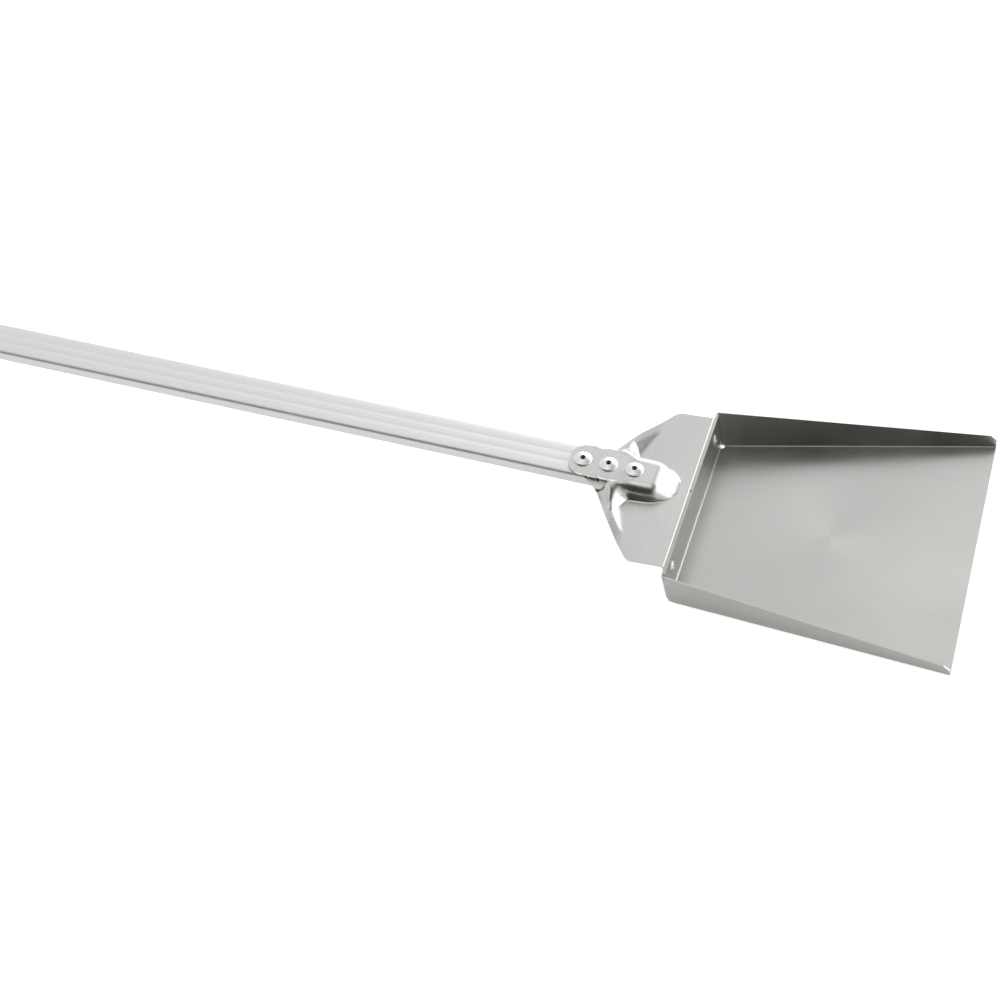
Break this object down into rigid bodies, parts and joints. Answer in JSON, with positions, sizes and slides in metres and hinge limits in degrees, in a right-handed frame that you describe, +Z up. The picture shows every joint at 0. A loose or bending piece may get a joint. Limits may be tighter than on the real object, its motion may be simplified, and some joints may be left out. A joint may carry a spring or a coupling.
{
  "type": "grain scoop shovel",
  "caption": "Long-handled grain scoop shovel: folded stainless pan with low tapering side walls, pressed neck bracket and flat aluminium handle held by large-head rivets.",
  "frame": {"origin": "middle of the pan's underside, on the centre line, halfway between the folded tabs and the front edge", "axes": "+X towards the pan's open front, the handle runs towards -X and rises, +Z up out of the pan, +Y to the left wall when looking along +X"},
  "size_m": [1.1986, 0.2588, 0.1767],
  "materials": {
    "stainless_sheet": "brushed along the folds, satin",
    "stainless_pressing": "mill finish, lightly polished by the press",
    "anodised_aluminium": "clear satin anodising over extrusion lines",
    "rivet_aluminium": "bright satin",
    "mandrel_steel": "plain, snapped end",
    "cap_plastic": "fine moulded texture"
  },
  "bodies": {
    "root": {"scoop_pan": "stainless_sheet", "neck_bracket": "stainless_pressing", "handle_tube": "anodised_aluminium", "handle_end_cap": "cap_plastic", "handle_rivet_1": "rivet_aluminium", "handle_rivet_2": "rivet_aluminium", "handle_rivet_3": "rivet_aluminium", "handle_mandrel_1": "mandrel_steel", "handle_mandrel_2": "mandrel_steel", "handle_mandrel_3": "mandrel_steel", "wall_rivet_left": "rivet_aluminium", "wall_rivet_right": "rivet_aluminium", "wall_mandrel_left": "mandrel_steel", "wall_mandrel_right": "mandrel_steel"}
  },
  "joints": []
}
